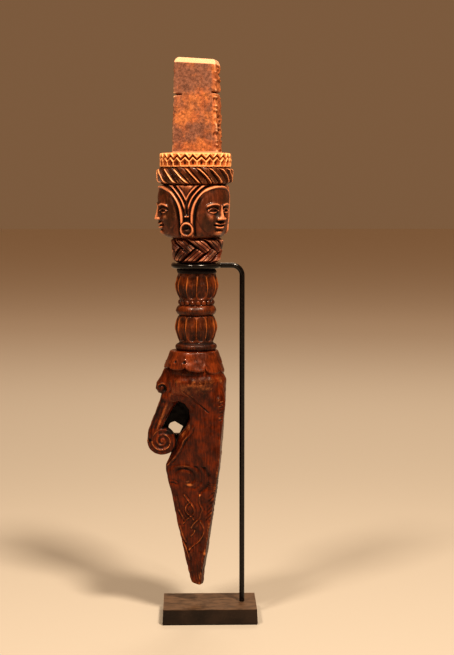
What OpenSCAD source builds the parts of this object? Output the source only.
// Three-faced carved wooden ritual peg, held upright by the yoke of a black museum stand.
// +Z is up, -Y faces the viewer, and the origin is the middle of the stand's underside.

/* [Base] */
// Width of the base block, left to right
base_w = 63; // [58:1:80]
// Depth of the base block, front to back
base_d = 41; // [36:1:60]
// Thickness of the base block
base_h = 9.6; // [8.5:0.1:12]
// Lean of the block's sides, in degrees
base_draft = 3; // [0:0.5:6]
// Thickness of the felt under the block
felt_t = 0.8; // [0.5:0.1:1.5]
// How far the felt stays inside the block's edge
felt_inset = 0.5; // [0.5:0.5:4]

/* [Post and yoke] */
// Diameter of the painted rod
rod_d = 3.4; // [3:0.1:3.6]
// Distance of the post from the middle of the base
post_x = 21.6; // [20.6:0.2:24]
// Centre-line radius of the bend at the top of the post
bend_r = 6.6; // [5:0.2:8]
// Straight length of the yoke's two tails behind the neck
yoke_tail = 7; // [4:0.5:10]
// Diameter of the thread under the block
thread_d = 3; // [2.5:0.1:3]
// Width across the nut's flats
nut_af = 5.5; // [5:0.1:6]
// Height of the nut
nut_h = 2.4; // [2:0.1:3]
// Diameter of the washer
washer_d = 7; // [6.5:0.1:8]
// Thickness of the washer
washer_t = 0.5; // [0.4:0.1:1]

/* [Peg heights, from the tip up] */
// Gap between the base block and the tip of the blade
tip_gap = 12; // [8:0.5:20]
// Length of the plain blade, tip to the beast's lower lip
blade_l = 83; // [70:1:95]
// Height of the beast's head, lower lip to the cap's hem
guard_l = 61.4; // [61:0.2:64]
// Height of the flared cap
cap_l = 14; // [12:0.5:18]
// Height of the fluted grip, cap to neck groove
grip_l = 53.9; // [53:0.1:60]
// Height of the plaited band under the head
band_l = 16.2; // [14:0.2:20]
// Height of the head
head_l = 34.7; // [32:0.5:38]
// Height of the slanted rope band
rope_l = 11.4; // [9:0.2:14]
// Height of the zigzag crown band
crown_l = 9.1; // [7:0.2:12]
// Height of the plain tang on top
tang_l = 62; // [40:1:80]

/* [Peg radii and widths] */
// Distance of the peg's axis from the middle of the base, to the left
peg_x = 8.6; // [8:0.1:10]
// Widest radius of the head
head_r = 24; // [22:0.2:25]
// Radius of the plaited band at its top
band_r = 16.8; // [15.5:0.1:18]
// Radius of the wood in the neck groove
groove_r = 11.9; // [11:0.1:12]
// Thickness of the felt wrap round the neck
wrap_t = 1.1; // [0.8:0.1:1.2]
// Widest radius of the fluted swellings
melon_r = 13.7; // [13.2:0.1:14.5]
// Radius of the cap's hem
cap_r = 19.8; // [18:0.2:20.4]
// Width of the tang
tang_w = 29.6; // [26:0.2:32]
// Thickness of the tang
tang_t = 19; // [14:0.2:22]
// Front-to-back depth of the blade at the beast's lower lip
blade_depth = 36; // [30:0.5:38]
// Front-to-back thickness of the trunk
trunk_t = 13; // [10:0.5:14]

/* [Hidden] */
$fn = 64;

steel_black = [0.05, 0.05, 0.055];
wood_brown = [0.42, 0.19, 0.09];
felt_black = [0.08, 0.08, 0.08];
zinc = [0.62, 0.63, 0.64];

// Clearances
wrap_play = 0.05;  // wood in the wrap, a running fit
yoke_play = 0.1;   // wrap in the yoke
ledge_gap = 0.35;  // plaited band over the yoke, and yoke over the collar
wrap_gap = 0.2;    // wrap's edges inside the yoke's thickness
hole_play = 0.1;   // thread in the block and in the washer
nut_play = 0.02;   // thread in the nut

// Heights above the table
base_top = felt_t + base_h;
tip_z = base_top + tip_gap;
hem_h = blade_l + guard_l;
cap_h = hem_h + cap_l;
groove_h = cap_h + grip_l;
groove_l = rod_d + 2 * ledge_gap;
band_h = groove_h + groove_l;
head_h = band_h + band_l;
rope_h = head_h + head_l;
crown_h = rope_h + rope_l;
tang_h = crown_h + crown_l;
yoke_z = tip_z + band_h - ledge_gap - rod_d / 2;

// Yoke and wrap radii
wrap_r = groove_r + wrap_play + wrap_t;
wrap_h = rod_d - 2 * wrap_gap;
yoke_in = wrap_r + yoke_play;
yoke_mid = yoke_in + rod_d / 2;

// Counterbore under the block
counterbore_h = nut_h + washer_t + 1.6;
counterbore_d = washer_d + 1.4;
thread_z = felt_t + counterbore_h - washer_t - nut_h - 1;

flutes = 12;
faces = 3;
face_turn = -50;  // first face, degrees from +X

// ---- Stand ----

// A block whose four sides lean inwards: two trapezium bars crossed
module leaning_block(w, d, h) {
    inset = h * tan(base_draft);
    intersection() {
        rotate([90, 0, 0])
            linear_extrude(height = d + 1, center = true)
                polygon([[-w / 2, 0], [w / 2, 0], [w / 2 - inset, h], [inset - w / 2, h]]);
        rotate([90, 0, 90])
            linear_extrude(height = w + 1, center = true)
                polygon([[-d / 2, 0], [d / 2, 0], [d / 2 - inset, h], [inset - d / 2, h]]);
    }
}

module base_block() {
    color(steel_black)
    difference() {
        translate([0, 0, felt_t])
            leaning_block(base_w, base_d, base_h);
        translate([post_x, 0, 0])
            cylinder(d = thread_d + 2 * hole_play, h = base_top + 1);
        translate([post_x, 0, 0])
            cylinder(d = counterbore_d, h = felt_t + counterbore_h);
    }
}

module base_felt() {
    color(felt_black)
    difference() {
        translate([felt_inset - base_w / 2, felt_inset - base_d / 2, 0])
            cube([base_w - 2 * felt_inset, base_d - 2 * felt_inset, felt_t]);
        translate([post_x, 0, -1])
            cylinder(d = counterbore_d, h = felt_t + 2);
    }
}

// Half a ring in front of the neck, with a straight tail on each side, open at the back
module yoke_wire() {
    translate([-peg_x, 0, yoke_z]) {
        rotate([0, 0, 180])
            rotate_extrude(angle = 180)
                translate([yoke_mid, 0])
                    circle(d = rod_d);
        for (side = [-1, 1])
            translate([side * yoke_mid, 0, 0])
                rotate([-90, 0, 0])
                    cylinder(d = rod_d, h = yoke_tail);
    }
}

module yoke() {
    color(steel_black)
    yoke_wire();
}

// The post: thread, shoulder on the block, rod, bend and the arm that is coped to the yoke
module post() {
    color(steel_black)
    difference() {
        union() {
            translate([post_x, 0, thread_z])
                cylinder(d = thread_d, h = base_top - thread_z);
            translate([post_x, 0, base_top])
                cylinder(d = rod_d, h = yoke_z - bend_r - base_top);
            translate([post_x - bend_r, 0, yoke_z - bend_r])
                rotate([90, 0, 0])
                    rotate_extrude(angle = 90)
                        translate([bend_r, 0])
                            circle(d = rod_d);
            translate([-peg_x + yoke_mid, 0, yoke_z])
                rotate([0, 90, 0])
                    cylinder(d = rod_d, h = post_x - bend_r + peg_x - yoke_mid);
        }
        yoke_wire();
    }
}

module post_washer() {
    color(zinc)
    translate([post_x, 0, felt_t + counterbore_h - washer_t])
        difference() {
            cylinder(d = washer_d, h = washer_t);
            translate([0, 0, -1])
                cylinder(d = thread_d + 2 * hole_play, h = washer_t + 2);
        }
}

module post_nut() {
    color(zinc)
    translate([post_x, 0, felt_t + counterbore_h - washer_t - nut_h])
        difference() {
            cylinder(d = nut_af / cos(30), h = nut_h, $fn = 6);
            translate([0, 0, -1])
                cylinder(d = thread_d + 2 * nut_play, h = nut_h + 2);
        }
}

// ---- Wrap ----

module neck_wrap() {
    color(felt_black)
    translate([-peg_x, 0, yoke_z - wrap_h / 2])
        difference() {
            cylinder(r = wrap_r, h = wrap_h);
            translate([0, 0, -1])
                cylinder(r = groove_r + wrap_play, h = wrap_h + 2);
        }
}

// ---- Peg: every height below is measured from the tip ----

// A flat slice of the blade: left edge, front arris and back arris
module slice(h, left, right, depth) {
    translate([0, 0, h])
        linear_extrude(height = 0.2)
            polygon([[-left, 0], [right - 2, -depth / 2], [right, depth / 2]]);
}

// A flat slice of the beast's head: a rounded block
module head_slice(h, left, right, depth, corner = 6) {
    translate([0, 0, h])
        linear_extrude(height = 0.2)
            for (x = [corner - left, right - corner], y = [-1, 1])
                translate([x, y * (depth / 2 - corner)])
                    circle(r = corner, $fn = 32);
}

module blade() {
    hull() {
        slice(0, 3.1, 4.3, 6);
        slice(blade_l * 0.5, 13.5, 11.7, blade_depth * 0.6);
        slice(blade_l, 21, 16.8, blade_depth);
    }
}

// Heights of the mouth's corner and roof
mouth_h = blade_l + 26;
roof_h = blade_l + 42;

module guard() {
    hull() {
        slice(blade_l, 21, 16.8, blade_depth);
        head_slice(mouth_h, 4.6, 18.4, 34);
    }
    hull() {
        head_slice(mouth_h, 4.6, 18.4, 34);
        head_slice(roof_h, 5, 19.2, 34);
    }
    hull() {
        head_slice(roof_h, 21, 19.2, 30);
        translate([0, 0, hem_h - 0.2])
            cylinder(r = cap_r - 0.3, h = 0.2, $fn = 32);
    }
}

// The trunk: a leaning limb from the snout down to a round curl
curl_r = 10;
curl_x = -22.8;
curl_h = blade_l + 15.6;

module trunk() {
    rotate([90, 0, 0])
        linear_extrude(height = trunk_t, center = true) {
            translate([curl_x, curl_h])
                circle(r = curl_r);
            polygon([[-26.2, roof_h + 8.5], [-24, roof_h + 4], [-25.7, roof_h - 3.5], [-29.8, roof_h - 13.5],
                     [-32.4, curl_h + 3], [-21.9, curl_h + 9], [-13, roof_h], [-12, hem_h - 4],
                     [-20, hem_h - 2]]);
        }
    mouth_wall();
}

// The wall that closes the upper part of the mouth behind the trunk
module mouth_wall() {
    translate([0, trunk_t / 2 + 1, 0])
        rotate([90, 0, 0])
            linear_extrude(height = 6, center = true)
                polygon([[-22, blade_l + 23], [-24, blade_l + 26.5], [-19.5, blade_l + 33], [-13, roof_h + 2.5],
                         [-3, roof_h + 2.5], [-3, blade_l + 25], [-5, blade_l + 22], [-8, blade_l + 24.2],
                         [-14.5, blade_l + 27.9], [-18, blade_l + 24.9]]);
}

module cap() {
    translate([0, 0, hem_h])
        cylinder(r1 = cap_r, r2 = 16.2, h = cap_l);
}

// One fluted swelling between radii that taper to its ends
module melon(h, l, r_low, r_high) {
    difference() {
        translate([0, 0, h])
            rotate_extrude()
                intersection() {
                    polygon([[0, 0], [r_low, 0], [melon_r, l * 0.35], [melon_r, l * 0.62], [r_high, l], [0, l]]);
                    square([melon_r, l]);
                }
        for (i = [0 : flutes - 1])
            rotate([0, 0, (i + 0.5) * 360 / flutes])
                translate([melon_r + 0.9, 0, h - 1])
                    cylinder(r = 1.8, h = l + 2, $fn = 24);
    }
}

module ring_bead(h, l, r) {
    translate([0, 0, h])
        rotate_extrude()
            union() {
                square([r - l / 2, l]);
                translate([r - l / 2, l / 2])
                    circle(d = l);
            }
}

// Disc, lower swelling, ring, bead row, upper swelling and collar
module grip() {
    translate([0, 0, cap_h]) {
        cylinder(r = 11, h = grip_l);
        ring_bead(0, 4.4, 13.6);
        melon(4.4, 17, 11.8, 11.8);
        ring_bead(22.8, 6.8, 13.3);
        ring_bead(30, 3.8, 11.9);
        melon(33.8, 17, 11.2, 12.1);
        translate([0, 0, 50.8])
            cylinder(r = 12.9, h = grip_l - 50.8);
    }
}

module neck() {
    translate([0, 0, groove_h - 1])
        cylinder(r = groove_r, h = groove_l + 2);
    translate([0, 0, band_h])
        cylinder(r1 = 14.6, r2 = band_r, h = band_l);
}

module head() {
    translate([0, 0, head_h])
        rotate_extrude()
            polygon([[0, 0], [18.5, 0], [21, 4], [head_r - 1.5, 14], [head_r - 0.8, 24], [head_r - 1.2, head_l],
                     [0, head_l]]);
    for (i = [0 : faces - 1])
        rotate([0, 0, face_turn + i * 360 / faces])
            translate([head_r - 13.5, 0, head_h + head_l * 0.52])
                sphere(r = 14);
}

module crown() {
    ring_bead(rope_h, rope_l, head_r + 0.5);
    translate([0, 0, crown_h])
        cylinder(r = head_r - 0.6, h = crown_l);
}

module tang() {
    translate([0, 0, tang_h])
        rotate([0, 0, -11])
            difference() {
                translate([-tang_w / 2, -tang_t / 2, -1])
                    cube([tang_w, tang_t, tang_l + 1]);
                for (side = [-1, 1])
                    translate([side * tang_w / 2, 0, tang_l * 0.6])
                        cube([5, tang_t + 1, 1.4], center = true);
            }
}

module carved_peg() {
    color(wood_brown)
    translate([-peg_x, 0, tip_z]) {
        blade();
        guard();
        trunk();
        cap();
        grip();
        neck();
        head();
        crown();
        tang();
    }
}

base_block();
base_felt();
post();
post_washer();
post_nut();
yoke();
neck_wrap();
carved_peg();
